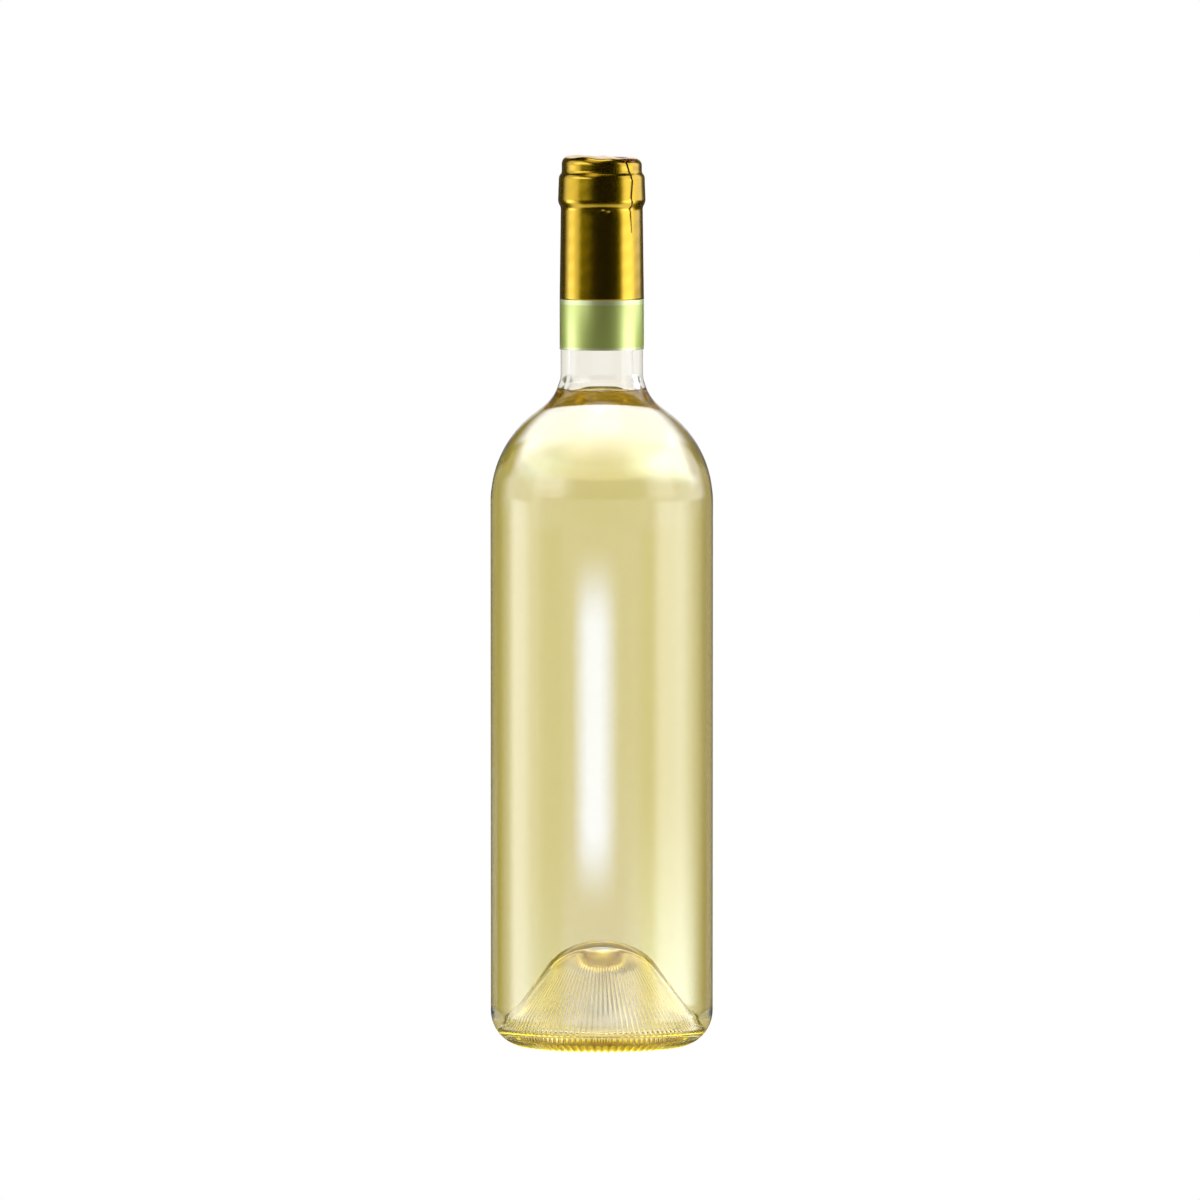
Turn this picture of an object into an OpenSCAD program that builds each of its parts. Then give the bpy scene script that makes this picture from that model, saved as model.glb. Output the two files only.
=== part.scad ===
// Full wine bottle, straight-sided with a high round shoulder and a deep punt, sealed by a foil capsule.
// Millimetres. The bottle stands on z = 0 with its axis on Z; every solid is turned about that axis.

/* [Bottle] */
// Height over everything, from the surface it stands on to the top of the capsule
height = 300; // [260:1:340]
// Diameter of the straight body
body_d = 75; // [68:0.5:90]
// Diameter of the straight part of the neck
neck_d = 27.7; // [25:0.1:32]
// Radius of the round shoulder
shoulder_r = 36.8; // [28:0.2:44]
// Radius of the hollow curve where the shoulder turns into the neck
neck_fillet_r = 14; // [8:0.5:30]
// From the foot of the straight neck to the top of the capsule
neck_h = 73; // [60:0.5:90]

/* [Base] */
// Radius of the heel, where the side turns under
heel_r = 12; // [9.5:0.5:15]
// From the body's side in to the outer edge of the ring it stands on
ring_inset = 8.5; // [6:0.5:9]
// Width of the flat ring it stands on
ring_w = 3; // [2:0.5:5]
// Rounding inside that ring, at the mouth of the punt
punt_lip_r = 2; // [1:0.5:4]
// Height of the punt's hollow under the bottle
punt_h = 32; // [20:1:40]
// Slope of the punt's straight flank
punt_flank_angle = 62; // [58:1:68]

/* [Glass thickness] */
// Wall of the body and the shoulder
wall_t = 2.4; // [1.8:0.1:3.2]
// Wall of the straight neck
neck_wall_t = 3.2; // [2.2:0.1:4]
// Glass over the middle of the punt
punt_t = 4; // [3:0.5:7]
// Glass under the lowest point of the wine
base_t = 6; // [5:0.5:8]
// Radius of the wine's lower outer corner
inner_heel_r = 4; // [3:0.5:6]
// Radius of the wide flare from the punt's flank to the floor of the wine
flare_r = 20; // [14:1:24]
// Slope at which that flare meets the lower corner
flare_foot_angle = 25; // [15:1:35]

/* [Mouth] */
// Diameter of the bore
bore_d = 18.5; // [17.5:0.1:19.5]
// Depth of the parallel bore below the mouth
bore_h = 45; // [38:1:50]
// How much the neck's radius shrinks up to the collar
neck_taper = 0.4; // [0:0.1:0.8]
// How far the collar stands out from the neck under it
collar_rise = 0.92; // [0.4:0.02:1.6]
// How much the collar's radius shrinks from its lower to its upper edge
collar_taper = 0.26; // [0:0.02:0.6]
// How far the lip stands back from the collar's upper edge
lip_step = 1.02; // [0.4:0.02:1.6]
// From the top down to the collar's upper edge, where the step to the lip starts
lip_h = 7.3; // [6.5:0.1:10]
// Height of the collar's side
collar_h = 7.1; // [4:0.1:10]
// Height of the slope from the neck out to the collar
collar_slope_h = 3.4; // [2.5:0.1:5]
// Height of the slope from the collar in to the lip
lip_slope_h = 2.8; // [2.5:0.1:4]
// Rounding of the lip's top edge
lip_round_r = 2.2; // [1:0.1:2.6]

/* [Capsule and band] */
// Thickness of the capsule's foil
foil_t = 0.35; // [0.2:0.05:0.5]
// Height of the capsule
capsule_h = 47.9; // [40:0.1:60]
// Height of the band below the capsule
band_h = 16.9; // [8:0.1:19]
// Thickness of the band
band_t = 0.34; // [0.2:0.02:0.5]

/* [Wine] */
// From the top of the capsule down to the surface of the wine
level_drop = 77.6; // [55:0.1:120]

/* [Hidden] */
$fn = 96;

// Steps in each curve of an outline
steps = 14;
// How far a cutting solid runs past the face that it cuts
past = 1;

body_r = body_d / 2;
neck_r = neck_d / 2;
glass_top = height - foil_t;
neck_foot = height - neck_h;
capsule_foot = height - capsule_h;
level = height - level_drop;

// Ring that the bottle stands on, and the point where the heel's curve leaves it
ring_out = body_r - ring_inset;
ring_in = ring_out - ring_w;
heel_x = body_r - heel_r;
heel_z = sqrt(pow(heel_r, 2) - pow(ring_out - heel_x, 2));
heel_start = asin((ring_out - heel_x) / heel_r) - 90;

// The shoulder's centre lies below the neck's fillet by the run of two arcs that touch
shoulder_x = body_r - shoulder_r;
shoulder_z = neck_foot - touching_run(shoulder_r, neck_r, neck_fillet_r);

// Levels and radii of the mouth's collar and lip, on the glass
lip_foot = height - lip_h + lip_slope_h;
collar_top = height - lip_h;
collar_foot = collar_top - collar_h;
slope_foot = collar_foot - collar_slope_h;
neck_top_r = neck_r - neck_taper;
collar_foot_r = neck_top_r + collar_rise;
collar_top_r = collar_foot_r - collar_taper;
lip_r = collar_top_r - lip_step;

// Height between the centres of the shoulder's arc and the neck's fillet where the two arcs touch
function touching_run(arc_r, throat_r, fillet_r) =
    sqrt(pow(arc_r + fillet_r, 2) - pow(throat_r + fillet_r - shoulder_x, 2));

// Points on a circle about [x, z] from one angle to another, in degrees
function arc(x, z, r, from, to) =
    [for (i = [0 : steps]) let (a = from + (to - from) * i / steps) [x + r * cos(a), z + r * sin(a)]];

// Shoulder and fillet up to the throat; the wall is 0 outside and wall_t inside
function shoulder_curve(wall, throat_r, fillet_r) =
    let (arc_r = shoulder_r - wall,
         run = touching_run(arc_r, throat_r, fillet_r),
         lean = atan2(run, throat_r + fillet_r - shoulder_x))
    concat(arc(shoulder_x, shoulder_z, arc_r, 0, lean),
           arc(throat_r + fillet_r, shoulder_z + run, fillet_r, lean + 180, 180));

// Radius of the dome that lets a straight flank drop from it to [foot_r, foot_z]
function dome_radius(apex, foot_r, foot_z, angle) =
    (foot_r - (apex - foot_z) / tan(angle)) / (sin(angle) - (1 - cos(angle)) / tan(angle));

// Dome from its middle down to where the flank starts
function dome(apex, foot_r, foot_z, angle) =
    let (r = dome_radius(apex, foot_r, foot_z, angle))
    arc(0, apex - r, r, 90, 90 - angle);

// S-shaped slope between two upright walls, moved out by skin
function slope(r0, z0, r1, z1, skin) =
    let (way = sign(r1 - r0),
         bend = 2 * atan(abs(r1 - r0) / (z1 - z0)),
         r = (z1 - z0) / 2 / sin(bend))
    concat(
        [for (i = [0 : steps]) let (a = bend * i / steps, q = r - way * skin)
            [r0 + way * r - way * q * cos(a), z0 + q * sin(a)]],
        [for (i = [0 : steps]) let (a = bend * (1 - i / steps), q = r + way * skin)
            [r1 - way * r + way * q * cos(a), z1 - q * sin(a)]]);

// Outside of the neck from the capsule's hem to the middle of the top, moved out by skin
function mouth_outline(skin) =
    concat([[neck_r + skin, capsule_foot]],
           slope(neck_top_r, slope_foot, collar_foot_r, collar_foot, skin),
           slope(collar_top_r, collar_top, lip_r, lip_foot, skin),
           arc(lip_r - lip_round_r, glass_top - lip_round_r, lip_round_r + skin, 0, 90),
           [[0, glass_top + skin]]);

// Outside of the glass: punt, ring, heel, side, shoulder, neck and mouth, as if it had no inside
punt_mouth = punt_lip_r * tan(punt_flank_angle / 2);
glass_outline = concat(
    dome(punt_h, ring_in - punt_mouth, 0, punt_flank_angle),
    arc(ring_in, punt_lip_r, punt_lip_r, 270 - punt_flank_angle, 270),
    arc(heel_x, heel_z, heel_r, heel_start, 0),
    shoulder_curve(0, neck_r, neck_fillet_r),
    mouth_outline(0));

// Inside of the glass: floor over the punt, flare, lower corner, side, shoulder, throat and bore
inner_r = body_r - wall_t;
corner_x = inner_r - inner_heel_r;
corner_z = base_t + inner_heel_r;
flare_x = corner_x + (flare_r - inner_heel_r) * sin(flare_foot_angle);
flare_z = corner_z + (flare_r - inner_heel_r) * cos(flare_foot_angle);
flare_top_r = flare_x - flare_r * sin(punt_flank_angle);
flare_top_z = flare_z - flare_r * cos(punt_flank_angle);
cavity_outline = concat(
    dome(punt_h + punt_t, flare_top_r, flare_top_z, punt_flank_angle),
    arc(flare_x, flare_z, flare_r, 270 - punt_flank_angle, 270 - flare_foot_angle),
    arc(corner_x, corner_z, inner_heel_r, 270 - flare_foot_angle, 360),
    shoulder_curve(wall_t, neck_r - neck_wall_t, neck_fillet_r + wall_t),
    [[bore_d / 2, glass_top - bore_h], [bore_d / 2, glass_top + past], [0, glass_top + past]]);

// Glass with nothing inside it, to cut the capsule from
module glass_form() {
    rotate_extrude() polygon(glass_outline);
}

// Space inside the glass, open at the mouth
module cavity() {
    rotate_extrude() polygon(cavity_outline);
}

// Clear glass, hollow to the mouth
module bottle() {
    color("ivory", 0.5) difference() {
        glass_form();
        cavity();
    }
}

// White wine up to its level
module wine() {
    color("khaki") intersection() {
        cavity();
        cylinder(h = level, r = body_r);
    }
}

// Gold foil over the mouth and the upper neck
module capsule() {
    color("goldenrod") difference() {
        rotate_extrude() polygon(concat(mouth_outline(foil_t), [[0, capsule_foot]]));
        glass_form();
    }
}

// Green band round the neck under the capsule
module neck_band() {
    color("yellowgreen") translate([0, 0, capsule_foot - band_h]) difference() {
        cylinder(h = band_h, r = neck_r + band_t);
        translate([0, 0, -past]) cylinder(h = band_h + 2 * past, r = neck_r);
    }
}

bottle();
wine();
capsule();
neck_band();
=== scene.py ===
"""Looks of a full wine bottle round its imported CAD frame.

Moulded glass with a fluted punt and a knurled base ring, white wine, a torn gold foil capsule, a green foil
band, and the studio that they stand in. Sizes are metres.
"""

import math

import bpy
import numpy as np
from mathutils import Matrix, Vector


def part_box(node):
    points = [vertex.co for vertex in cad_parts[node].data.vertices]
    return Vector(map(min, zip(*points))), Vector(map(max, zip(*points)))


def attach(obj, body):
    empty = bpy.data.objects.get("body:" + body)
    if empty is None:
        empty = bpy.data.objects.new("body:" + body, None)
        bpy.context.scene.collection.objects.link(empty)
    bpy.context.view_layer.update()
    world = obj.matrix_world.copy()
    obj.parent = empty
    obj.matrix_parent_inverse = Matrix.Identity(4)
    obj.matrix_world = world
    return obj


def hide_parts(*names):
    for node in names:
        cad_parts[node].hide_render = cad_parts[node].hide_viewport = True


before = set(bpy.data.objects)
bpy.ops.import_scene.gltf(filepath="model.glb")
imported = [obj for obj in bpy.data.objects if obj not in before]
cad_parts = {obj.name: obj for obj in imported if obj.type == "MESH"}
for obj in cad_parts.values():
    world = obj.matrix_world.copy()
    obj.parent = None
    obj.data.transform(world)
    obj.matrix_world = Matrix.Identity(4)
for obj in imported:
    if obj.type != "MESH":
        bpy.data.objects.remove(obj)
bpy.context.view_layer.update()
MM = 0.001

bl_info = {
    "name": "Wine bottle",
    "version": (1, 0, 0),
    "blender": (4, 5, 0),
    "location": "3D View > Sidebar > Bottle",
    "description": "Makes a full wine bottle, its foil capsule and band, and a plain studio",
    "category": "Add Mesh",
}


# ---------------------------------------------------------------- sizes and colours that a user would change

def length(name, description, default):
    """A length property, in metres."""
    return bpy.props.FloatProperty(
        name=name, description=description, default=default, unit="LENGTH", precision=5)


def angle(name, description, degrees):
    """An angle property, given in degrees."""
    return bpy.props.FloatProperty(
        name=name, description=description, default=math.radians(degrees), subtype="ANGLE")


def count(name, description, default):
    """A whole number property."""
    return bpy.props.IntProperty(name=name, description=description, default=default)


def factor(name, description, default):
    """A plain number property."""
    return bpy.props.FloatProperty(name=name, description=description, default=default, precision=4)


def colour(name, description, default):
    """A colour property, given as an sRGB hex value."""
    return bpy.props.FloatVectorProperty(
        name=name, description=description, default=linear(default), subtype="COLOR", size=3, min=0, max=1)


def linear(hex_value):
    """Linear RGB of an sRGB hex value such as 'e6c555'."""
    parts = [int(hex_value[i:i + 2], 16) / 255 for i in (0, 2, 4)]
    return tuple(c / 12.92 if c <= 0.04045 else ((c + 0.055) / 1.055) ** 2.4 for c in parts)


BOTTLE_LOW, BOTTLE_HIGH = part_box("bottle")
WINE_LOW, WINE_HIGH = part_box("wine")
CAPSULE_LOW, CAPSULE_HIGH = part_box("capsule")
BAND_LOW, BAND_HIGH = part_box("neck_band")


class GlassSizes(bpy.types.PropertyGroup):
    """Sizes of the glass, as the CAD model has them."""
    body_radius: length("Body radius", "Radius of the straight body", BOTTLE_HIGH.x)
    top: length("Top", "Height of the glass mouth", BOTTLE_HIGH.z)
    neck_radius: length("Neck radius", "Radius of the straight neck", 13.85 * MM)
    neck_foot: length("Neck foot", "Height at which the straight neck starts", CAPSULE_HIGH.z - 73 * MM)
    shoulder_radius: length("Shoulder radius", "Radius of the round shoulder", 36.8 * MM)
    fillet_radius: length("Neck fillet", "Radius of the hollow curve under the neck", 14 * MM)
    wall: length("Wall", "Wall of the body and shoulder", BOTTLE_HIGH.x - WINE_HIGH.x)
    neck_wall: length("Neck wall", "Wall of the straight neck", 3.2 * MM)
    heel_radius: length("Heel radius", "Radius of the heel", 12 * MM)
    ring_inset: length("Ring inset", "From the side in to the ring it stands on", 8.5 * MM)
    ring_width: length("Ring width", "Width of the ring it stands on", 3 * MM)
    punt_lip: length("Punt lip", "Rounding at the mouth of the punt", 2 * MM)
    punt_height: length("Punt height", "Height of the hollow under the bottle", 32 * MM)
    punt_glass: length("Punt glass", "Glass over the middle of the punt", 4 * MM)
    punt_slope: angle("Punt slope", "Slope of the punt's flank", 62)
    floor_glass: length("Floor glass", "Glass under the lowest wine", WINE_LOW.z)
    corner_radius: length("Corner radius", "Radius of the wine's lower outer corner", 4 * MM)
    flare_radius: length("Flare radius", "Radius of the flare round the punt's foot", 20 * MM)
    flare_foot: angle("Flare foot", "Slope at the foot of the flare", 25)
    bore_radius: length("Bore radius", "Radius of the bore at the mouth", 9.25 * MM)
    bore_depth: length("Bore depth", "Depth of the parallel bore", 45 * MM)
    lip_radius: length("Lip radius", "Radius of the lip under the foil", 13.13 * MM)
    lip_round: length("Lip rounding", "Rounding of the lip's top edge", 2.2 * MM)
    lip_height: length("Lip height", "From the mouth down to the collar's upper edge", 6.95 * MM)
    lip_slope: length("Lip slope", "Height of the slope from the collar in to the lip", 2.8 * MM)
    collar_radius: length("Collar radius", "Largest radius of the collar under the foil", 14.37 * MM)
    collar_height: length("Collar height", "Height of the collar's side", 7.1 * MM)
    collar_taper: length("Collar taper", "How much the collar's radius shrinks upwards", 0.26 * MM)
    collar_slope: length("Collar slope", "Height of the slope from the neck out to the collar", 3.4 * MM)
    neck_top_radius: length("Neck top radius", "Radius of the neck under the collar", 13.45 * MM)


class GlassRelief(bpy.types.PropertyGroup):
    """Relief of the glass: flutes and stipple on the punt, knurls on the ring, and an uneven inner wall."""
    flutes: count("Flutes", "Flutes round the punt", 80)
    flute_depth: length("Flute depth", "Depth of each flute", 0.45 * MM)
    flute_foot: length("Flute foot", "Height at which the flutes start", 4 * MM)
    flute_end: length("Flute end", "Radius at which the flutes have died out", 3 * MM)
    flute_fade: length("Flute fade", "Width over which the flutes die out", 7 * MM)
    knurls: count("Knurls", "Bars round the base ring", 80)
    knurl_depth: length("Knurl depth", "Depth between the bars", 0.6 * MM)
    knurl_top: length("Knurl top", "Height at which the bars end", 2 * MM)
    knurl_margin: length("Knurl margin", "How far the bars run in past the ring", 1 * MM)
    stipple: length("Stipple", "Depth of the rough skin on the punt's dome", 0.22 * MM)
    stipple_margin: length("Stipple margin", "Half the height over which the rough skin fades", 1 * MM)
    waviness: length("Waviness", "Unevenness of the blown inner wall", 0.12 * MM)
    calm_radius: length("Calm radius", "Radius within which the inner wall is even", 6 * MM)
    around: count("Around", "Steps round the bottle", 400)
    seed: count("Seed", "Seed of the inner wall's unevenness", 4)


class WineLook(bpy.types.PropertyGroup):
    """The wine."""
    level: length("Level", "Height of the wine's surface", WINE_HIGH.z - 1.8 * MM)
    overlap: length("Overlap", "How far the wine reaches into the glass", 0.05 * MM)
    meniscus: length("Meniscus", "How far the wine climbs the wall", 1.3 * MM)
    meniscus_fade: length("Meniscus fade", "Way in from the wall that takes it down to a third", 0.8 * MM)
    tint: colour("Tint", "Colour of light after a long way through the wine", "e9e19c")
    strength: factor("Strength", "Absorption per metre", 30.0)


class FoilLook(bpy.types.PropertyGroup):
    """The capsule's foil and the band."""
    thickness: length("Foil thickness", "How far the foil stands out from the glass", 0.35 * MM)
    sheet: length("Foil sheet", "Thickness of the foil itself", 0.25 * MM)
    tear_depth: length("Tear depth", "How far the slit of the tear is pressed in", 0.28 * MM)
    tear_lip: length("Tear lip", "How far the lips of the tear stand out", 0.07 * MM)
    fold: length("Fold", "How far the fold under the collar stands out", 0.3 * MM)
    wrinkle: length("Wrinkle", "Height of the faint wrinkles", 0.012 * MM)
    crumple: length("Crumple", "Height of the waves of the crumpled top", 0.2 * MM)
    top_drop: length("Top drop", "How far the top is pressed down", 0.2 * MM)
    top_lean: factor("Top lean", "Slope at which the top leans down towards +X", 0.045)
    upper_line: length("Upper line", "Height of the pale line at the band's upper edge", 1.7 * MM)
    lower_line: length("Lower line", "Height of the pale line at the band's lower edge", 0.9 * MM)
    gold: colour("Gold", "Gold lacquer", "c09c06")
    # The tear colour is painted shade: the dark of the shadow down in the slit of the torn foil.
    tear: colour("Tear", "Dark slit of the torn foil", "1a0f02")
    green: colour("Green", "Green of the band", "d9e67c")
    border: colour("Border", "Pale lines at the band's edges", "eef6b4")


class StageLook(bpy.types.PropertyGroup):
    """The studio and the camera."""
    distance: length("Camera distance", "From the bottle's axis to the camera", 4.0)
    camera_height: length("Camera height", "Height of the camera over the floor", 0.42)
    frame_width: length("Frame width", "Width of what the camera sees at the bottle", 0.4049)
    frame_middle: length("Frame middle", "Height of the middle of the picture at the bottle", 0.1504)
    side_shift: length("Side shift", "How far the camera aims beside the axis", -0.0006)
    white: factor("White", "Brightness of the white surround", 1.0)
    shell_middle: length("Shell middle", "Height of the middle of the painted shells", 0.12)
    shell_behind: length("Shell behind the glass", "Radius of the shell seen through the glass", 1.8)
    shell_mirrored: length("Mirrored shell", "Radius of the shell that the bottle mirrors", 1.9)
    floor_radius: length("Floor radius", "Radius of the white floor", 6)
    pool_radius: length("Pool radius", "Radius of the golden pool of light", 70 * MM)
    pool_drop: length("Pool drop", "How far the pool lies under the bottle", 0.2 * MM)


SETTINGS = {
    "bottle_glass": GlassSizes,
    "bottle_relief": GlassRelief,
    "bottle_wine": WineLook,
    "bottle_foil": FoilLook,
    "bottle_stage": StageLook,
}


# ---------------------------------------------------------------- outlines, as lists of (radius, height)

def arc(x, z, radius, start, end, steps=12):
    """Points on a circle about (x, z) from one angle to another, in radians."""
    return [(x + radius * math.cos(a), z + radius * math.sin(a)) for a in np.linspace(start, end, steps + 1)]


def eased(points, reach, step=0.8 * MM):
    """Evenly spaced points along a line whose bends are eased into each other, as blown glass has them."""
    line = np.array(points)
    run = np.concatenate([[0], np.cumsum(np.linalg.norm(np.diff(line, axis=0), axis=1))])
    places = np.linspace(0, run[-1], round(run[-1] / step))
    near = np.minimum(reach, np.minimum(places, run[-1] - places))
    spread = [[np.interp(places + near * t, run, line[:, i]) for i in (0, 1)] for t in np.linspace(-1, 1, 9)]
    return [tuple(point) for point in np.mean(spread, axis=0).T]


def shoulder_curve(g, wall, throat, fillet, steps=24):
    """Shoulder and neck fillet; the wall is 0 on the outside."""
    x = g.body_radius - g.shoulder_radius

    def run(reach, throat_radius, fillet_radius):
        return math.sqrt((reach + fillet_radius) ** 2 - (throat_radius + fillet_radius - x) ** 2)

    z = g.neck_foot - run(g.shoulder_radius, g.neck_radius, g.fillet_radius)
    reach = g.shoulder_radius - wall
    rise = run(reach, throat, fillet)
    lean = math.atan2(rise, throat + fillet - x)
    shoulder = arc(x, z, reach, 0, lean, steps)
    turn_up = arc(throat + fillet, z + rise, fillet, lean + math.pi, math.pi, steps // 2)
    return eased(shoulder + turn_up, 4 * MM)


def dome(apex, foot_radius, foot_height, slope, steps=12):
    """Dome whose edge runs tangent into a straight flank down to the foot."""
    flat = (apex - foot_height) / math.tan(slope)
    radius = (foot_radius - flat) / (math.sin(slope) - (1 - math.cos(slope)) / math.tan(slope))
    return arc(0, apex - radius, radius, math.pi / 2, math.pi / 2 - slope, steps)


def between(start, end, steps):
    """Points between two points, without the points themselves."""
    return [tuple(np.array(start) + (np.array(end) - start) * i / steps) for i in range(1, steps)]


def s_slope(low, high, skin, steps=8):
    """S-shaped slope between two upright walls, moved out by skin."""
    (r0, z0), (r1, z1) = low, high
    way = math.copysign(1, r1 - r0)
    bend = 2 * math.atan(abs(r1 - r0) / (z1 - z0))
    radius = (z1 - z0) / 2 / math.sin(bend)
    turns = np.linspace(0, bend, steps + 1)
    near, far = radius - way * skin, radius + way * skin
    rise = [(r0 + way * (radius - near * math.cos(a)), z0 + near * math.sin(a)) for a in turns]
    meet = [(r1 - way * (radius - far * math.cos(a)), z1 - far * math.sin(a)) for a in turns[::-1]]
    return rise + meet[1:]


def mouth_outline(g, skin, steps=8):
    """Neck, collar and lip over the glass, moved out by skin, up to the edge of the flat top."""
    collar_top = g.top - g.lip_height
    collar_foot = collar_top - g.collar_height
    neck_end = (g.neck_top_radius, collar_foot - g.collar_slope)
    collar_low = (g.collar_radius, collar_foot)
    collar_high = (g.collar_radius - g.collar_taper, collar_top)
    lip_low = (g.lip_radius, collar_top + g.lip_slope)
    rim = arc(g.lip_radius - g.lip_round, g.top - g.lip_round, g.lip_round + skin, 0, math.pi / 2, steps)
    return s_slope(neck_end, collar_low, skin, steps) + s_slope(collar_high, lip_low, skin, steps) + rim


def punt_and_ring(g):
    """Underside of the glass from the top of the punt to the outer edge of the ring."""
    ring_out = g.body_radius - g.ring_inset
    ring_in = ring_out - g.ring_width
    foot = ring_in - g.punt_lip * math.tan(g.punt_slope / 2)
    top = dome(g.punt_height, foot, 0, g.punt_slope, 24)
    lip = arc(ring_in, g.punt_lip, g.punt_lip, 1.5 * math.pi - g.punt_slope, 1.5 * math.pi, 6)
    return top + between(top[-1], lip[0], 8) + lip + between(lip[-1], (ring_out, 0), 3)


def heel(g):
    """From the ring's outer edge round to the straight side."""
    x = g.body_radius - g.heel_radius
    out = g.body_radius - g.ring_inset - x
    z = math.sqrt(g.heel_radius ** 2 - out ** 2)
    return arc(x, z, g.heel_radius, math.asin(out / g.heel_radius) - math.pi / 2, 0, 14)


def wine_side(g):
    """Inside of the glass from the middle of the punt up to the neck."""
    corner = g.body_radius - g.wall - g.corner_radius
    corner_z = g.floor_glass + g.corner_radius
    x = corner + (g.flare_radius - g.corner_radius) * math.sin(g.flare_foot)
    z = corner_z + (g.flare_radius - g.corner_radius) * math.cos(g.flare_foot)
    low = 1.5 * math.pi
    flare = arc(x, z, g.flare_radius, low - g.punt_slope, low - g.flare_foot, 10)
    top = dome(g.punt_height + g.punt_glass, *flare[0], g.punt_slope)
    return (top + between(top[-1], flare[0], 3) + flare
            + arc(corner, corner_z, g.corner_radius, low - g.flare_foot, 2 * math.pi, 8)
            + shoulder_curve(g, g.wall, g.neck_radius - g.neck_wall, g.fillet_radius + g.wall))


RELIEFS = ("fluted", "knurled", "wavy", "stippled")


def outline_mesh(name, points, **weights):
    """Outline as a mesh of vertices in order, with its outward direction and its weight of each relief."""
    keep = [0] + [i for i in range(1, len(points)) if math.dist(points[i], points[i - 1]) > 1e-6]
    line = np.array([points[i] for i in keep])
    run = np.gradient(line, axis=0)
    for i in (0, len(line) - 1):
        if line[i, 0] < 1e-9:
            run[i, 1] = 0
    run /= np.linalg.norm(run, axis=1)[:, None]
    mesh = bpy.data.meshes.new(name)
    mesh.from_pydata([(r, 0, z) for r, z in line], [], [])
    outward = mesh.attributes.new("outward", "FLOAT_VECTOR", "POINT")
    outward.data.foreach_set("vector", np.stack([run[:, 1], 0 * run[:, 0], -run[:, 0]], 1).ravel())
    for relief in RELIEFS:
        weight = weights.get(relief, lambda point, i: 0)
        values = [float(weight(points[i], i)) for i in keep]
        mesh.attributes.new(relief, "FLOAT", "POINT").data.foreach_set("value", values)
    return mesh


# ---------------------------------------------------------------- nodes

def add_node(tree, kind, inputs=None, **settings):
    """Adds a node; inputs maps a socket's name or number to a value or to another node's output."""
    node = tree.nodes.new(kind)
    for key, value in settings.items():
        setattr(node, key, value)
    for socket, value in (inputs or {}).items():
        if isinstance(value, bpy.types.NodeSocket):
            tree.links.new(value, node.inputs[socket])
        else:
            node.inputs[socket].default_value = value
    return node


def maths(tree):
    """A function that adds a math node to the tree and gives its result."""
    def math_node(operation, *values):
        return add_node(tree, "ShaderNodeMath", dict(enumerate(values)), operation=operation).outputs[0]
    return math_node


def combine(tree, *parts):
    """Vector of three parts."""
    return add_node(tree, "ShaderNodeCombineXYZ", dict(enumerate(parts))).outputs[0]


def separate(tree, vector):
    """The three parts of a vector."""
    return add_node(tree, "ShaderNodeSeparateXYZ", {0: vector}).outputs


def ramp(tree, value, start, end):
    """Smooth step from 0 where the value is at start to 1 where it is at end."""
    return add_node(tree, "ShaderNodeMapRange", {"Value": value, "From Min": start, "From Max": end},
                    interpolation_type="SMOOTHSTEP").outputs[0]


def blend(tree, share, first, second, label=""):
    """Colour that goes from the first to the second as share goes from 0 to 1."""
    return add_node(tree, "ShaderNodeMix", {"Factor": share, "A": first, "B": second},
                    data_type="RGBA", label=label).outputs["Result"]


LATHE_INPUTS = (
    ("Around", "NodeSocketInt"), ("Flutes", "NodeSocketInt"), ("Flute depth", "NodeSocketFloat"),
    ("Knurls", "NodeSocketInt"), ("Knurl depth", "NodeSocketFloat"), ("Waviness", "NodeSocketFloat"),
    ("Stipple", "NodeSocketFloat"), ("Seed", "NodeSocketInt"), ("Material", "NodeSocketMaterial"),
)


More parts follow.
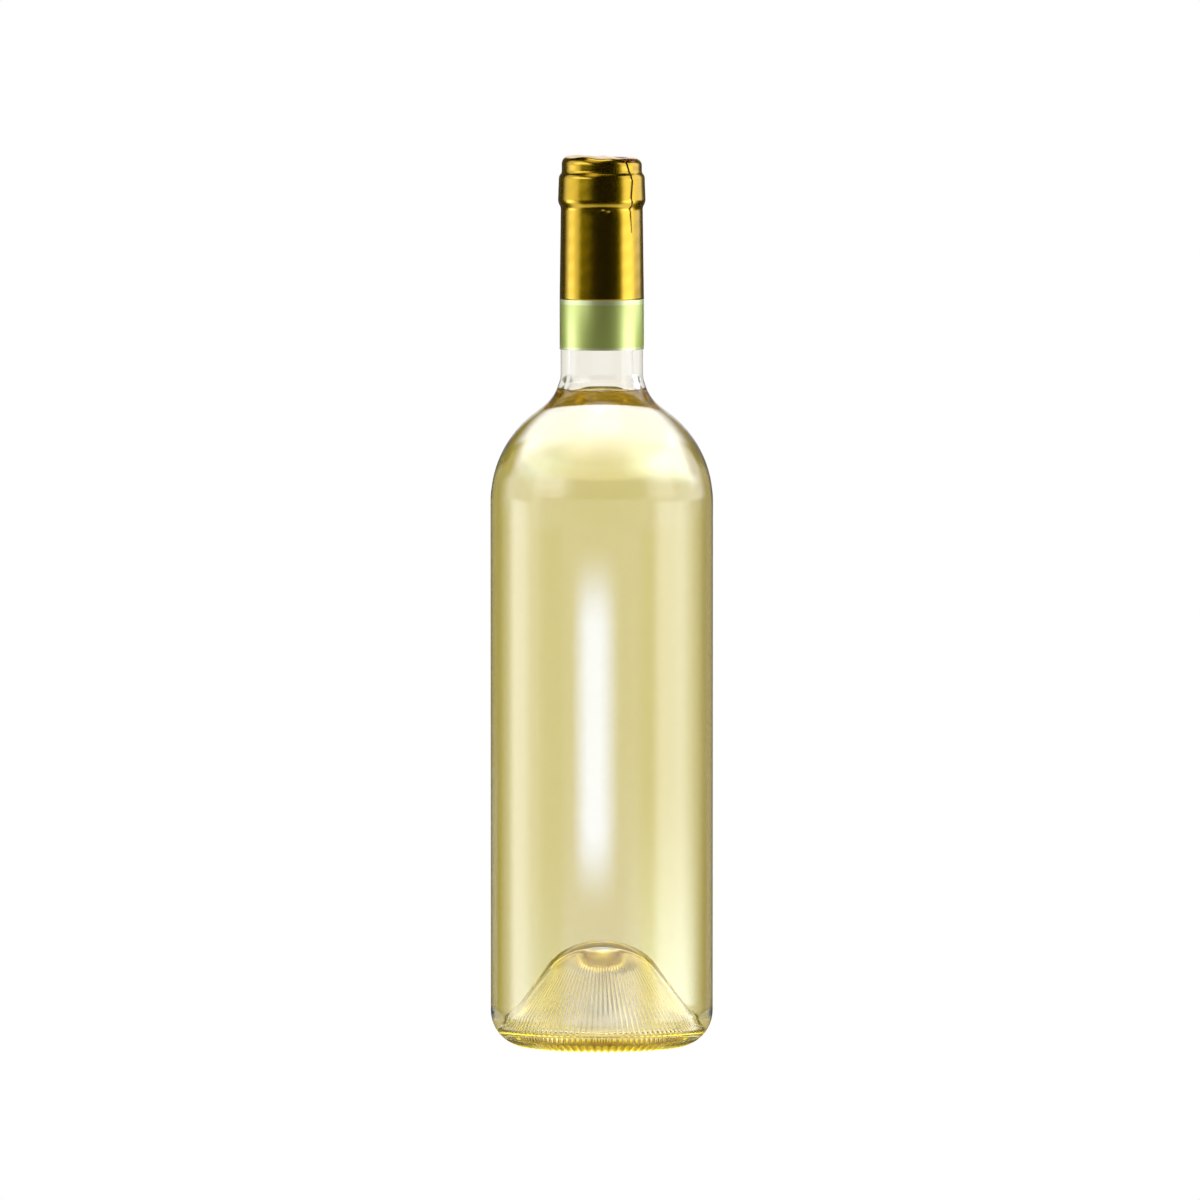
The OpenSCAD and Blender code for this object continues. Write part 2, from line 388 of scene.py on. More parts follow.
def lathe_tree():
    """Node tree that turns an outline round the Z axis and cuts its reliefs into it."""
    tree = bpy.data.node_groups.new("turned_outline", "GeometryNodeTree")
    tree.interface.new_socket("Outline", in_out="INPUT", socket_type="NodeSocketGeometry")
    for name, kind in LATHE_INPUTS:
        tree.interface.new_socket(name, in_out="INPUT", socket_type=kind)
    tree.interface.new_socket("Turned", in_out="OUTPUT", socket_type="NodeSocketGeometry")
    given = add_node(tree, "NodeGroupInput").outputs
    math_node = maths(tree)

    size = add_node(tree, "GeometryNodeAttributeDomainSize", {0: given["Outline"]}, component="MESH")
    rows, columns = size.outputs[0], math_node("ADD", given["Around"], 1.0)
    grid = add_node(tree, "GeometryNodeMeshGrid", {
        "Size X": 1.0, "Size Y": 1.0, "Vertices X": columns, "Vertices Y": rows})
    place = separate(tree, add_node(tree, "GeometryNodeInputPosition").outputs[0])
    bearing = math_node("MULTIPLY", math_node("ADD", place[0], 0.5), math.tau)
    cosine, sine = math_node("COSINE", bearing), math_node("SINE", bearing)
    last = math_node("SUBTRACT", rows, 1.0)
    row = math_node("ROUND", math_node("MULTIPLY", math_node("ADD", place[1], 0.5), last))

    def at_row(name, kind):
        source = add_node(tree, "GeometryNodeInputNamedAttribute", {"Name": name}, data_type=kind)
        return add_node(tree, "GeometryNodeSampleIndex",
                        {"Geometry": given["Outline"], "Value": source.outputs["Attribute"], "Index": row},
                        data_type=kind, domain="POINT").outputs["Value"]

    def round_axis(radius, height):
        x, y = math_node("MULTIPLY", radius, cosine), math_node("MULTIPLY", radius, sine)
        return combine(tree, x, y, height)

    def wave(number):
        swing = math_node("COSINE", math_node("MULTIPLY", bearing, number))
        return math_node("MULTIPLY_ADD", swing, -0.5, 0.5)

    def noise(where, scale):
        return add_node(tree, "ShaderNodeTexNoise",
                        {"Vector": where, "W": given["Seed"], "Scale": scale, "Detail": 1.0},
                        noise_dimensions="4D").outputs[0]

    point = separate(tree, at_row("position", "FLOAT_VECTOR"))
    slow = noise(combine(tree, cosine, sine, math_node("MULTIPLY", point[2], 40.0)), 1.1)
    grain = noise(round_axis(point[0], point[2]), 650.0)
    shapes = {
        "fluted": ("Flute depth", wave(given["Flutes"])),
        "knurled": ("Knurl depth", wave(given["Knurls"])),
        "wavy": ("Waviness", math_node("SUBTRACT", slow, 0.5)),
        "stippled": ("Stipple", grain),
    }
    cut = 0.0
    for relief in RELIEFS:
        depth, shape = shapes[relief]
        weight = math_node("MULTIPLY", at_row(relief, "FLOAT"), given[depth])
        cut = math_node("MULTIPLY_ADD", weight, shape, cut)
    push = add_node(tree, "ShaderNodeVectorMath", {0: at_row("outward", "FLOAT_VECTOR"), "Scale": cut},
                    operation="SCALE")
    shift = separate(tree, push.outputs[0])
    turned = round_axis(math_node("SUBTRACT", point[0], shift[0]), math_node("SUBTRACT", point[2], shift[2]))
    moved = add_node(tree, "GeometryNodeSetPosition", {"Geometry": grid.outputs["Mesh"], "Position": turned})
    closed = add_node(tree, "GeometryNodeMergeByDistance", {"Geometry": moved.outputs[0], "Distance": 1e-6})
    smooth = add_node(tree, "GeometryNodeSetShadeSmooth", {0: closed.outputs[0]})
    real = add_node(tree, "GeometryNodeRealizeInstances", {0: smooth.outputs[0]})
    finished = add_node(tree, "GeometryNodeSetMaterial",
                        {"Geometry": real.outputs[0], "Material": given["Material"]})
    add_node(tree, "NodeGroupOutput", {0: finished.outputs[0]})
    return tree


def turn(name, outline, material, **values):
    """Turns an outline mesh into a finished piece with the lathe tree."""
    tree = bpy.data.node_groups.get("turned_outline") or lathe_tree()
    source = bpy.data.objects.new(name + "_outline", outline)
    bpy.context.scene.collection.objects.link(source)
    lathe = source.modifiers.new("lathe", "NODES")
    lathe.node_group = tree
    values = {"Around": 192, "Material": material, **values}
    for item in tree.interface.items_tree:
        if item.in_out == "INPUT" and item.name in values:
            lathe[item.identifier] = values[item.name]
    mesh = bpy.data.meshes.new_from_object(source.evaluated_get(bpy.context.evaluated_depsgraph_get()))
    bpy.data.objects.remove(source)
    mesh.name = name
    piece = bpy.data.objects.new(name, mesh)
    bpy.context.scene.collection.objects.link(piece)
    return piece


def new_material(name):
    """Material with an empty tree, its Principled shader and its output."""
    material = bpy.data.materials.new(name)
    material.use_nodes = True
    tree = material.node_tree
    tree.nodes.clear()
    shader = add_node(tree, "ShaderNodeBsdfPrincipled")
    output = add_node(tree, "ShaderNodeOutputMaterial", {"Surface": shader.outputs[0]})
    return material, tree, shader, output


def surface_grain(tree, shader, scale, depth, roughness):
    """Fine unevenness: grains of 1/scale metres and the given depth, and the range of their roughness."""
    place = add_node(tree, "ShaderNodeTexCoord").outputs["Object"]
    grain = add_node(tree, "ShaderNodeTexNoise", {"Vector": place, "Scale": scale, "Detail": 3.0}).outputs[0]
    bump = add_node(tree, "ShaderNodeBump", {"Height": grain, "Strength": 0.5, "Distance": depth}).outputs[0]
    tree.links.new(bump, shader.inputs["Normal"])
    if roughness:
        spread = add_node(tree, "ShaderNodeMapRange", {
            "Value": grain, "From Min": 0.3, "From Max": 0.7, "To Min": roughness[0], "To Max": roughness[1]})
        tree.links.new(spread.outputs[0], shader.inputs["Roughness"])


def settings(key):
    """The scene's values for one group of settings."""
    return getattr(bpy.context.scene, key)


# ---------------------------------------------------------------- glass

def flint_glass():
    """Flint container glass, press and blow moulded: clear, fire polished, so it only bends and mirrors."""
    material, tree, shader, _ = new_material("flint_glass")
    shader.inputs["Base Color"].default_value = (1, 1, 1, 1)
    shader.inputs["Transmission Weight"].default_value = 1
    shader.inputs["Roughness"].default_value = 0.0
    shader.inputs["IOR"].default_value = 1.52
    surface_grain(tree, shader, 90.0, 0.00002, None)
    return material


class OBJECT_OT_bottle_glass(bpy.types.Operator):
    """Makes the glass bottle with its fluted punt and knurled ring"""
    bl_idname = "object.bottle_glass"
    bl_label = "Glass bottle"

    def execute(self, context):
        g, relief = settings("bottle_glass"), settings("bottle_relief")
        under = punt_and_ring(g)
        side = heel(g) + shoulder_curve(g, 0, g.neck_radius, g.fillet_radius)
        mouth = [(g.neck_radius, CAPSULE_LOW.z)] + mouth_outline(g, 0, 5)
        inner = wine_side(g)
        bore = [(g.bore_radius, g.top), (g.bore_radius, g.top - g.bore_depth)]
        points = under + side + mouth + bore + inner[::-1]
        first_inner = len(points) - len(inner)
        ring_in = g.body_radius - g.ring_inset - g.ring_width
        flank_top = dome(g.punt_height, ring_in, 0, g.punt_slope)[-1][1]
        stipple_foot = flank_top - relief.stipple_margin
        heel_rows = 5

        def fluted(point, i):
            inner_share = np.clip((point[0] - relief.flute_end) / relief.flute_fade, 0, 1)
            return i < len(under) and point[1] > relief.flute_foot and inner_share

        def stippled(point, i):
            return i < len(under) and np.clip((point[1] - stipple_foot) / (2 * relief.stipple_margin), 0, 1)

        def knurled(point, i):
            low = point[0] > ring_in - relief.knurl_margin and point[1] < relief.knurl_top
            return i < len(under) + heel_rows and low

        def wavy(point, i):
            return i >= first_inner and point[0] > relief.calm_radius

        outline = outline_mesh("glass_outline", points, fluted=fluted, knurled=knurled, wavy=wavy,
                               stippled=stippled)
        reliefs = {"Flutes": relief.flutes, "Flute depth": relief.flute_depth, "Knurls": relief.knurls,
                   "Knurl depth": relief.knurl_depth, "Waviness": relief.waviness, "Stipple": relief.stipple}
        piece = turn("bottle_glass", outline, flint_glass(),
                     Around=relief.around, Seed=relief.seed, **reliefs)
        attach(piece, "root")
        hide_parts("bottle")
        return {"FINISHED"}


# ---------------------------------------------------------------- wine

def white_wine(look):
    """Dry white wine: a clear liquid a little denser to light than water, straw coloured in depth."""
    material, tree, shader, output = new_material("white_wine")
    shader.inputs["Base Color"].default_value = (1, 1, 1, 1)
    shader.inputs["Transmission Weight"].default_value = 1
    shader.inputs["Roughness"].default_value = 0.0
    shader.inputs["IOR"].default_value = 1.345
    volume = add_node(tree, "ShaderNodeVolumeAbsorption",
                      {"Color": (*look.tint, 1), "Density": look.strength})
    tree.links.new(volume.outputs[0], output.inputs["Volume"])
    return material


class OBJECT_OT_bottle_wine(bpy.types.Operator):
    """Fills the bottle with wine up to its level, reaching just into the wall"""
    bl_idname = "object.bottle_wine"
    bl_label = "Wine"

    def execute(self, context):
        g, look, relief = settings("bottle_glass"), settings("bottle_wine"), settings("bottle_relief")
        inner = [p for p in wine_side(g) if p[1] < look.level + look.meniscus]
        run = np.gradient(np.array(inner), axis=0)
        run /= np.linalg.norm(run, axis=1)[:, None]
        run[0] = (1, 0)
        wall = [(r + look.overlap * t[1], z - look.overlap * t[0]) for (r, z), t in zip(inner, run)]
        wall[0] = (0, wall[0][1])
        edge = wall[-1][0]
        rise = wall[-1][1] - look.level
        reaches = np.array((0.1, 0.25, 0.45, 0.7, 1.0, 1.4, 1.9, 2.6, 3.6)) * MM
        fade = look.meniscus_fade
        skin = [(edge - reach, look.level + rise * math.exp(-reach / fade)) for reach in reaches]

        def wavy(point, i):
            return -1 if i < len(wall) and point[0] > relief.calm_radius else 0

        outline = outline_mesh("wine_outline", wall + skin + [(0, look.level)], wavy=wavy)
        piece = turn("wine_fill", outline, white_wine(look),
                     Around=relief.around // 2, Waviness=relief.waviness, Seed=relief.seed)
        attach(piece, "root")
        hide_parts("wine")
        return {"FINISHED"}


# ---------------------------------------------------------------- foil capsule

# The tear in the capsule, from the rim down: degrees from the front towards +X, and millimetres below the top
TEAR = ((38, 1.2), (40, 3.2), (43.6, 5.6), (43.2, 6.9), (45, 7.8), (43.6, 10.5), (42, 13.6), (43.8, 15.0),
        (44.6, 16.1), (42.1, 17.1), (44, 18.7), (44.9, 21.9), (45.6, 24.2), (45.7, 26.0))
# Depth below the top and half the tear's width there, in millimetres
TEAR_WIDTH = ((1.0, 0), (1.3, 0.28), (8, 0.22), (20, 0.13), (26, 0))
# Dents under the collar, in millimetres: aside of the front, down from the top, size and depth
DENTS = ((0.4, 18.0, 0.5, 0.22), (2.3, 18.7, 0.6, 0.3), (1.2, 19.6, 0.5, 0.12))


def gold_foil(look):
    """Gold lacquered tin foil, spun on: satin metal with a faint grain, with painted shade, near black, in
    the slit of the tear.
    """
    material, tree, shader, _ = new_material("gold_foil")
    shader.inputs["Metallic"].default_value = 1
    shader.inputs["Specular Tint"].default_value = (1.0, 0.8, 0.4, 1)
    shader.inputs["Coat Weight"].default_value = 0.8
    shader.inputs["Coat Roughness"].default_value = 0.12
    surface_grain(tree, shader, 700.0, 0.000008, (0.22, 0.26))
    # Painted shade: where the tear attribute is, the foil takes the near-black tear colour for the shadow in
    # the slit.
    tear = add_node(tree, "ShaderNodeAttribute", attribute_name="tear").outputs["Fac"]
    shade = blend(tree, tear, (*look.gold, 1), (*look.tear, 1))
    tree.links.new(shade, shader.inputs["Base Color"])
    return material


def capsule_outline(g, look):
    """Outline of the foil from the middle of its top down to its foot, in small steps where it bends."""
    edge = mouth_outline(g, look.thickness)
    foot = (g.neck_radius + look.thickness, CAPSULE_LOW.z)
    outline = [(r, CAPSULE_HIGH.z) for r in np.linspace(0, edge[-1][0], 14)[:-1]] + edge[::-1]
    outline += between(outline[-1], foot, 12) + [foot]
    step, plain_radius = 0.4 * MM, 9 * MM
    fine = []
    for a, b in zip(outline[:-1], outline[1:]):
        steps = max(1, round(math.dist(a, b) / step)) if a[0] > plain_radius else 1
        fine += [a] + between(a, b, steps)
    return np.array(fine + [foot])


def capsule_bearings(middle=43.5, reach=6):
    """Bearings of the foil's columns, closely spaced within reach of the tear's middle, in degrees."""
    near = np.arange(-reach, reach, 0.25)
    far = np.arange(reach, 360 - reach, 1.5)
    return np.radians(middle + np.concatenate([near, far]))


def bump(place, middle, spread):
    """Round bump, 1 high at the middle."""
    return np.exp(-((place - middle) / spread) ** 2)


def half_turn(bearing):
    """Bearing brought within half a turn of the front."""
    return np.mod(bearing + math.pi, math.tau) - math.pi


def tear_at(r, bearing, depth):
    """How much of the slit and how much of its raised lips there is at each place of the foil."""
    bearings, depths = np.transpose(TEAR)
    width_depths, widths = np.transpose(TEAR_WIDTH) * MM
    middle = np.interp(depth, depths * MM, np.radians(bearings))
    aside = np.abs(r * half_turn(bearing - middle))
    width = np.interp(depth, width_depths, widths)
    slit = np.clip(1.4 - aside / np.maximum(width, 1e-9), 0, 1) * (width > 0)
    lips = bump(aside - width, 0.15 * MM, 0.15 * MM) * (width > 0)
    return slit, lips


def foil_relief(look, r, bearing, depth, slit, lips):
    """How far the foil stands out from its round form: tear, fold under the collar, dents and wrinkles."""
    front = half_turn(bearing)
    shift = look.tear_lip * lips - look.tear_depth * slit
    shift = shift + look.fold * bump(front, 0, 0.33) * bump(depth, 17.4 * MM, 1.1 * MM)
    for aside, down, size, deep in np.array(DENTS) * MM:
        spot = bump(r * np.sin(front), aside, size) * bump(depth, down, size)
        shift = shift - deep * spot * (np.cos(front) > 0)
    down = depth / MM
    return shift + look.wrinkle * np.sin(3 * bearing + 0.4 * down) * np.sin(0.7 * down + 2 * bearing)


def top_relief(look, x, y, r, depth):
    """How far the foil's top stands up: it leans, and is crumpled away from its middle."""
    u, v = x / MM, y / MM
    crumple = look.crumple * (np.sin(0.7 * u + 1.4 * np.sin(0.21 * v)) + np.sin(0.5 * v + 1))
    crumple += 0.5 * MM * bump(u, -3.5, 4) * bump(v, -7, 1.6)
    crumple -= 0.4 * MM * bump(u, 1, 6) * bump(v, -10.5, 1.2)
    lean = -look.top_lean * x - look.top_drop
    return np.clip(1 - depth / (4 * MM), 0, 1) * (lean + crumple * np.clip(r / (3 * MM), 0, 1))


def capsule_mesh(g, look):
    """Foil over the mouth, in rows down from the middle of the top."""
    line = capsule_outline(g, look)
    bearing = capsule_bearings()[None, :]
    r, z = line[:, :1], line[:, 1:]
    run = np.gradient(line, axis=0)
    run /= np.linalg.norm(run, axis=1)[:, None] + 1e-12
    depth = CAPSULE_HIGH.z - z
    slit, lips = tear_at(r, bearing, depth)
    shift = foil_relief(look, r, bearing, depth, slit, lips)
    reach = r - run[:, 1:] * shift
    x, y = reach * np.sin(bearing), -reach * np.cos(bearing)
    height = z + run[:, :1] * shift + top_relief(look, x, y, r, depth)
    points = np.stack([x, y, height], -1)
    rows, columns = points.shape[:2]
    verts = [(0, 0, float(height[0].mean()))] + points[1:].reshape(-1, 3).tolist()

    def index(i, j):
        return 1 + (i - 1) * columns + j % columns

    faces = [(0, index(1, j), index(1, j + 1)) for j in range(columns)]
    faces += [(index(i, j), index(i + 1, j), index(i + 1, j + 1), index(i, j + 1))
              for i in range(1, rows - 1) for j in range(columns)]
    mesh = bpy.data.meshes.new("foil_capsule")
    mesh.from_pydata(verts, [], faces)
    # The tear attribute marks where the slit's painted shade goes.
    tear = np.clip(slit * 1.3, 0, 1)
    mesh.attributes.new("tear", "FLOAT", "POINT").data.foreach_set(
        "value", np.concatenate([[0], tear[1:].ravel()]))
    mesh.polygons.foreach_set("use_smooth", [True] * len(mesh.polygons))
    return mesh


class OBJECT_OT_bottle_capsule(bpy.types.Operator):
    """Wraps the mouth in its torn gold foil capsule"""
    bl_idname = "object.bottle_capsule"
    bl_label = "Foil capsule"

    def execute(self, context):
        g, look = settings("bottle_glass"), settings("bottle_foil")
        piece = bpy.data.objects.new("foil_capsule", capsule_mesh(g, look))
        context.scene.collection.objects.link(piece)
        piece.data.materials.append(gold_foil(look))
        shell = piece.modifiers.new("sheet", "SOLIDIFY")
        shell.thickness = look.sheet
        shell.offset = -1
        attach(piece, "root")
        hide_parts("capsule")
        return {"FINISHED"}


# ---------------------------------------------------------------- neck band

def green_foil(look):
    """Green lacquered foil, printed with a pale line along each edge: satin, half metal and half paint."""
    material, tree, shader, _ = new_material("green_foil")
    shader.inputs["Metallic"].default_value = 0.72
    shader.inputs["Specular Tint"].default_value = (0.3, 0.7, 0.05, 1)
    surface_grain(tree, shader, 900.0, 0.000006, (0.4, 0.46))
    shader.inputs["Coat Weight"].default_value = 1.0
    shader.inputs["Coat Roughness"].default_value = 0.28
    shader.inputs["Coat IOR"].default_value = 1.7
    height = separate(tree, add_node(tree, "ShaderNodeTexCoord").outputs["Object"])[2]
    math_node = maths(tree)
    high = math_node("GREATER_THAN", height, BAND_HIGH.z - look.upper_line)
    low = math_node("LESS_THAN", height, BAND_LOW.z + look.lower_line)
    shade = blend(tree, math_node("MAXIMUM", high, low), (*look.green, 1), (*look.border, 1))
    tree.links.new(shade, shader.inputs["Base Color"])
    return material


class OBJECT_OT_bottle_band(bpy.types.Operator):
    """Wraps the green foil band round the neck under the capsule"""
    bl_idname = "object.bottle_band"
    bl_label = "Neck band"

    def execute(self, context):
        g, look = settings("bottle_glass"), settings("bottle_foil")
        inner = g.neck_radius + look.thickness - look.sheet
        outer = BAND_HIGH.x
        clearance, turned = 0.02 * MM, 0.08 * MM
        low, high = BAND_LOW.z, BAND_HIGH.z - clearance
        points = (arc(outer - turned, low + turned, turned, -math.pi / 2, 0, 4)
                  + arc(outer - turned, high - turned, turned, 0, math.pi / 2, 4)
                  + [(inner, high), (inner, low), (outer - turned, low)])
        piece = turn("neck_band_foil", outline_mesh("band_outline", points), green_foil(look))
        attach(piece, "root")
        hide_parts("neck_band")
        return {"FINISHED"}


# ---------------------------------------------------------------- stage

# Painted areas of the studio's two shells: name; bearing from straight behind towards +X, half width and
# softness; lowest and highest elevation and softness, all in degrees; colour and brightness. Later areas
# cover earlier ones.
# The gold areas are painted light: light that the wine has turned gold, put on the glowing shell that the
# glass shows.
BEHIND_GLASS = (
    ("paper", (0, 180, 1), (-90, 90, 1), "ffffff", 1.06),
    ("bright floor", (0, 180, 1), (-90, -15, 8), "c6ccff", 3.1),
    ("gold light on the floor", (0, 180, 1), (-90, -56, 4), "c8bc84", 0.9),
    ("low card left", (18, 9, 5), (-17, -9, 3), "d8e2ff", 1.75),
    ("low card right", (-22, 13, 6), (-17, -8.5, 3), "ccdaff", 2.8),
    ("gold card left", (-66, 27, 9), (-90, -0.9, 0.4), "c8bc84", 1.0),
    ("gold card right", (66, 27, 9), (-90, -0.9, 0.4), "cabf64", 1.0),
    ("gold card front left", (-114, 24, 9), (-90, -0.9, 0.4), "c8bc84", 1.0),
    ("gold card front right", (114, 24, 9), (-90, -0.9, 0.4), "cabf64", 1.0),
    ("wide gold card left", (-66, 33, 6), (-24, -10, 2), "c8bc84", 1.0),
    ("wide gold card right", (66, 33, 6), (-24, -10, 2), "cabf64", 1.0),
    ("white card over the shoulder", (0, 180, 1), (-0.9, 9, 0.4), "f4f0e4", 1.02),
    ("grey card left", (-80, 20, 6), (-0.9, 9, 0.4), "a8a48c", 1.0),
    ("grey card right", (80, 20, 6), (-0.9, 9, 0.4), "a8a48c", 1.0),
    ("window frame", (0, 180, 1), (9, 27, 2), "86822a", 0.65),
    ("window", (8, 11, 5), (9, 27, 2), "ecefff", 1.7),
    ("window left", (-50, 12, 5), (9, 27, 2), "f2f2e8", 1.0),
    ("window right", (52, 15, 5), (9, 27, 2), "eef0ff", 2.3),
    ("window front left", (-118, 18, 5), (9, 27, 2), "f4f3f0", 1.5),
    ("window front right", (112, 18, 5), (9, 27, 2), "f4f3f0", 1.7),
    ("pale ceiling", (0, 180, 1), (28, 43, 2), "f4eca4", 2.2),
    ("gold light overhead", (0, 180, 1), (43, 90, 3), "f0dc60", 1.6),
    ("lamp", (8, 17, 5), (29, 42, 3), "fff2c0", 3.2),
    ("lamp left", (-75, 17, 5), (29, 42, 3), "fff2c0", 2.2),
    ("lamp right", (92, 17, 5), (29, 42, 3), "fff2c0", 3.2),
    ("lamp front", (-165, 17, 5), (29, 42, 3), "fff2c0", 2.2),
)
MIRRORED = (
    ("dark room", (0, 180, 1), (-90, 90, 1), "ffffff", 0.012),
    ("floor", (0, 180, 1), (-90, -32, 6), "ffffff", 0.9),
    ("paper", (0, 42, 10), (-90, 40, 10), "ffffff", 0.08),
    ("paper behind, high", (0, 14, 6), (6, 50, 2), "ffffff", 1.1),
    ("softbox left", (-95, 18, 8), (-60, 40, 8), "f4f6ff", 1.4),
    ("softbox right", (98, 22, 9), (-60, 40, 8), "f4f6ff", 1.7),
    ("softbox left, wide", (-88, 25, 8), (2, 40, 1.5), "f4f6ff", 1.2),
    ("softbox right, wide", (84, 36, 9), (2, 40, 1.5), "f4f6ff", 1.9),
    ("softbox left, upper half", (-120, 26, 12), (12, 28, 5), "f0f3ff", 3.0),
    ("softbox left, lower half", (-86, 12, 9), (-14, 3, 1.5), "f0f3ff", 4.0),
    ("softbox right, lower half", (103, 18, 8), (-14, 3, 1.5), "f0f3ff", 3.9),
    ("softbox front left, high", (-142, 20, 12), (46, 72, 6), "fff0c0", 1.2),
    ("softbox above", (0, 180, 1), (74, 90, 6), "ffffff", 2.0),
)

# The golden pool that the wine throws on the floor: the radius in millimetres from which each colour holds,
# and the colour
POOL = ((0, (0.9, 0.8, 0.5)), (13, (0.6, 0.5, 0.25)), (22, (0.7, 0.56, 0.1)), (25, (3.4, 2.65, 0.1)),
        (31, (0.34, 0.27, 0.05)), (44, (0.3, 0.25, 0.05)))


def new_light(name):
    """Material with an empty tree, for a thing that glows but isn't sampled as a lamp."""
    material = bpy.data.materials.new(name)
    material.use_nodes = True
    material.cycles.emission_sampling = "NONE"
    material.node_tree.nodes.clear()
    return material, material.node_tree


def shine(tree, shade, strength=1.0):
    """Gives the tree's material a glow of a colour."""
    shader = add_node(tree, "ShaderNodeEmission", {"Color": shade, "Strength": strength})
    add_node(tree, "ShaderNodeOutputMaterial", {"Surface": shader.outputs[0]})


def painted(name, areas, centre):
    """Glowing cloth painted with soft-edged areas, by bearing and elevation round the bottle."""
    material, tree = new_light(name)
    math_node = maths(tree)
    place = add_node(tree, "ShaderNodeTexCoord").outputs["Object"]
    from_centre = add_node(tree, "ShaderNodeVectorMath", {0: place, 1: (0, 0, centre)}, operation="SUBTRACT")
    away = add_node(tree, "ShaderNodeVectorMath", {0: from_centre.outputs[0]}, operation="NORMALIZE")
    part = separate(tree, away.outputs[0])
    bearing = math_node("DEGREES", math_node("ARCTAN2", part[0], part[1]))
    elevation = math_node("DEGREES", math_node("ARCSINE", part[2]))
    total = None
    for label, (middle, half, soft), (low, high, fade), hex_value, strength in areas:
        shade = (*(c * strength for c in linear(hex_value)), 1)
        if total is None:
            total = shade
            continue
        aside = math_node("WRAP", math_node("SUBTRACT", bearing, middle), -180.0, 180.0)
        area = ramp(tree, math_node("ABSOLUTE", aside), half + soft, half - soft)
        area = math_node("MULTIPLY", area, ramp(tree, elevation, low - fade, low + fade))
        area = math_node("MULTIPLY", area, ramp(tree, elevation, high + fade, high - fade))
        total = blend(tree, area, total, shade, label)
    shine(tree, total)
    return material


def staged(name, verts, faces, material, seen_by):
    """Puts a mesh of the studio in the scene, seen only by the named kinds of ray."""
    mesh = bpy.data.meshes.new(name)
    mesh.from_pydata(verts, [], faces)
    mesh.polygons.foreach_set("use_smooth", [True] * len(mesh.polygons))
    mesh.materials.append(material)
    thing = bpy.data.objects.new(name, mesh)
    bpy.context.scene.collection.objects.link(thing)
    for ray in ("camera", "diffuse", "glossy", "transmission", "volume_scatter", "shadow"):
        setattr(thing, "visible_" + ray, ray in seen_by)


def ball(radius, centre, around=96, rows=48):
    """Vertices and faces of a ball."""
    verts = []
    for t in np.linspace(0, math.pi, rows + 1):
        verts += [(*point, centre + radius * math.cos(t)) for point in circle(radius * math.sin(t), around)]
    faces = []
    for i in range(rows):
        low, high = i * around, (i + 1) * around
        faces += [(low + j, high + j, high + (j + 1) % around, low + (j + 1) % around) for j in range(around)]
    return verts, faces


def circle(radius, around=96):
    """Points round a circle."""
    return [(radius * math.cos(a), radius * math.sin(a)) for a in np.linspace(0, math.tau, around + 1)[:-1]]


def disc(radius, height):
    """Vertices and face of a level disc."""
    rim = [(*point, height) for point in circle(radius)]
    return rim, [tuple(range(len(rim)))]


def floor_pool(rings, soft=2):
    """The golden pool of light that the wine throws round its foot, as soft-edged rings of colour."""
    material, tree = new_light("floor_pool")
    place = add_node(tree, "ShaderNodeTexCoord").outputs["Object"]
    away = add_node(tree, "ShaderNodeVectorMath", {0: place}, operation="LENGTH").outputs["Value"]
    total = (*rings[0][1], 1)
    for radius, shade in rings[1:]:
        share = ramp(tree, away, (radius - soft) * MM, (radius + soft) * MM)
        total = blend(tree, share, total, (*shade, 1))
    shine(tree, total)
    return material


def strip_light(middle, size, soft, shade):
    """Bright strip with soft edges, clear outside them, for a card that stands up behind the bottle."""
    material, tree = new_light("strip_light")
    math_node = maths(tree)
    part = separate(tree, add_node(tree, "ShaderNodeTexCoord").outputs["Object"])
    share = 1.0
    for place, centre, width, fade in zip((part[0], part[2]), middle, size, soft):
        aside = math_node("ABSOLUTE", math_node("SUBTRACT", place, centre))
        share = math_node("MULTIPLY", ramp(tree, aside, width / 2 + fade, width / 2 - fade), share)
    lit = add_node(tree, "ShaderNodeEmission", {"Color": (*shade, 1), "Strength": 1.0}).outputs[0]
    clear = add_node(tree, "ShaderNodeBsdfTransparent").outputs[0]
    both = add_node(tree, "ShaderNodeMixShader", {0: share, 1: clear, 2: lit})
    add_node(tree, "ShaderNodeOutputMaterial", {"Surface": both.outputs[0]})
    return material


def glow(name, strength):
    """Plain white glowing sheet."""
    material, tree = new_light(name)
    shine(tree, (1, 1, 1, 1), strength)
    return material


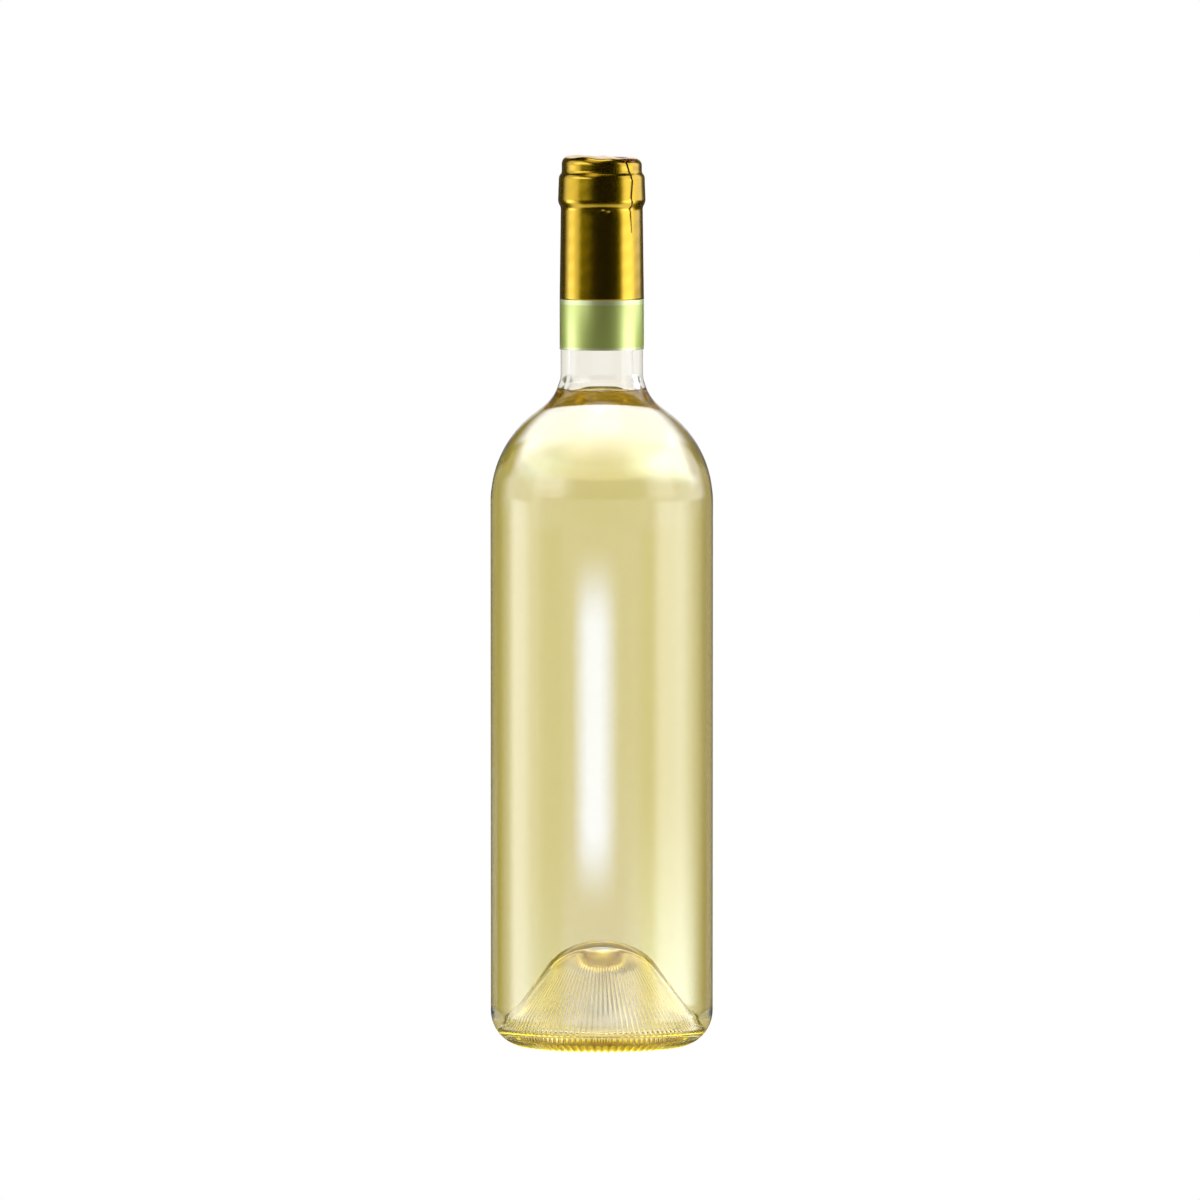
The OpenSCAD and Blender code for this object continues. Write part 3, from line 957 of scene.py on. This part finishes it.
class SCENE_OT_bottle_stage(bpy.types.Operator):
    """Sets up the floor, the light and the camera"""
    bl_idname = "scene.bottle_stage"
    bl_label = "Studio"

    def execute(self, context):
        look = settings("bottle_stage")
        scene = context.scene
        world = bpy.data.worlds.new("studio")
        scene.world = world
        world.use_nodes = True
        world.node_tree.nodes["Background"].inputs[0].default_value = (1, 1, 1, 1)
        world.node_tree.nodes["Background"].inputs[1].default_value = look.white

        middle = look.shell_middle
        staged("shell_behind_glass", *ball(look.shell_behind, middle),
               painted("paper_and_cards", BEHIND_GLASS, middle), {"transmission"})
        staged("shell_mirrored", *ball(look.shell_mirrored, middle),
               painted("dark_room_and_softboxes", MIRRORED, middle), {"glossy", "diffuse"})
        staged("floor", *disc(look.floor_radius, 0), glow("white_floor", look.white), {"camera"})
        staged("floor_pool", *disc(look.pool_radius, -look.pool_drop), floor_pool(POOL),
               {"transmission", "glossy"})
        behind, left, right, low, high = 0.1, -0.012, 0.016, 0.02, 0.18
        card = [(left, behind, low), (right, behind, low), (right, behind, high), (left, behind, high)]
        strip = strip_light(middle=(0.8 * MM, 100 * MM), size=(3.4 * MM, 98 * MM), soft=(1.4 * MM, 16 * MM),
                            shade=(1.6, 1.85, 4.3))
        staged("strip_light", card, [(0, 1, 2, 3)], strip, {"transmission"})

        aim = np.array([look.side_shift, 0, look.frame_middle])
        place = np.array([look.side_shift, -look.distance, look.camera_height])
        data = bpy.data.cameras.new("camera")
        data.sensor_width = 36
        data.lens = data.sensor_width * np.linalg.norm(aim - place) / look.frame_width
        data.clip_end = 50
        camera = bpy.data.objects.new("camera", data)
        scene.collection.objects.link(camera)
        camera.location = place
        camera.rotation_euler = (math.atan2(look.distance, look.camera_height - look.frame_middle), 0, 0)
        scene.camera = camera
        scene.view_settings.view_transform = "Standard"
        scene.view_settings.look = "None"
        scene.cycles.max_bounces = 40
        scene.cycles.transmission_bounces = 40
        scene.cycles.glossy_bounces = 24
        return {"FINISHED"}


class VIEW3D_PT_bottle(bpy.types.Panel):
    """Lists the bottle's pieces"""
    bl_label = "Wine bottle"
    bl_idname = "VIEW3D_PT_bottle"
    bl_space_type = "VIEW_3D"
    bl_region_type = "UI"
    bl_category = "Bottle"

    def draw(self, context):
        for operator in OPERATORS:
            self.layout.operator(operator.bl_idname)


OPERATORS = (OBJECT_OT_bottle_glass, OBJECT_OT_bottle_wine, OBJECT_OT_bottle_capsule, OBJECT_OT_bottle_band,
             SCENE_OT_bottle_stage)


def register():
    for group in SETTINGS.values():
        bpy.utils.register_class(group)
    for key, group in SETTINGS.items():
        setattr(bpy.types.Scene, key, bpy.props.PointerProperty(type=group))
    for cls in (*OPERATORS, VIEW3D_PT_bottle):
        bpy.utils.register_class(cls)


def unregister():
    for cls in (VIEW3D_PT_bottle, *OPERATORS[::-1]):
        bpy.utils.unregister_class(cls)
    for key, group in SETTINGS.items():
        delattr(bpy.types.Scene, key)
        bpy.utils.unregister_class(group)


def main():
    register()
    for operator in OPERATORS:
        family, name = operator.bl_idname.split(".")
        getattr(getattr(bpy.ops, family), name)()
    bpy.context.view_layer.update()


if __name__ == "__main__":
    main()
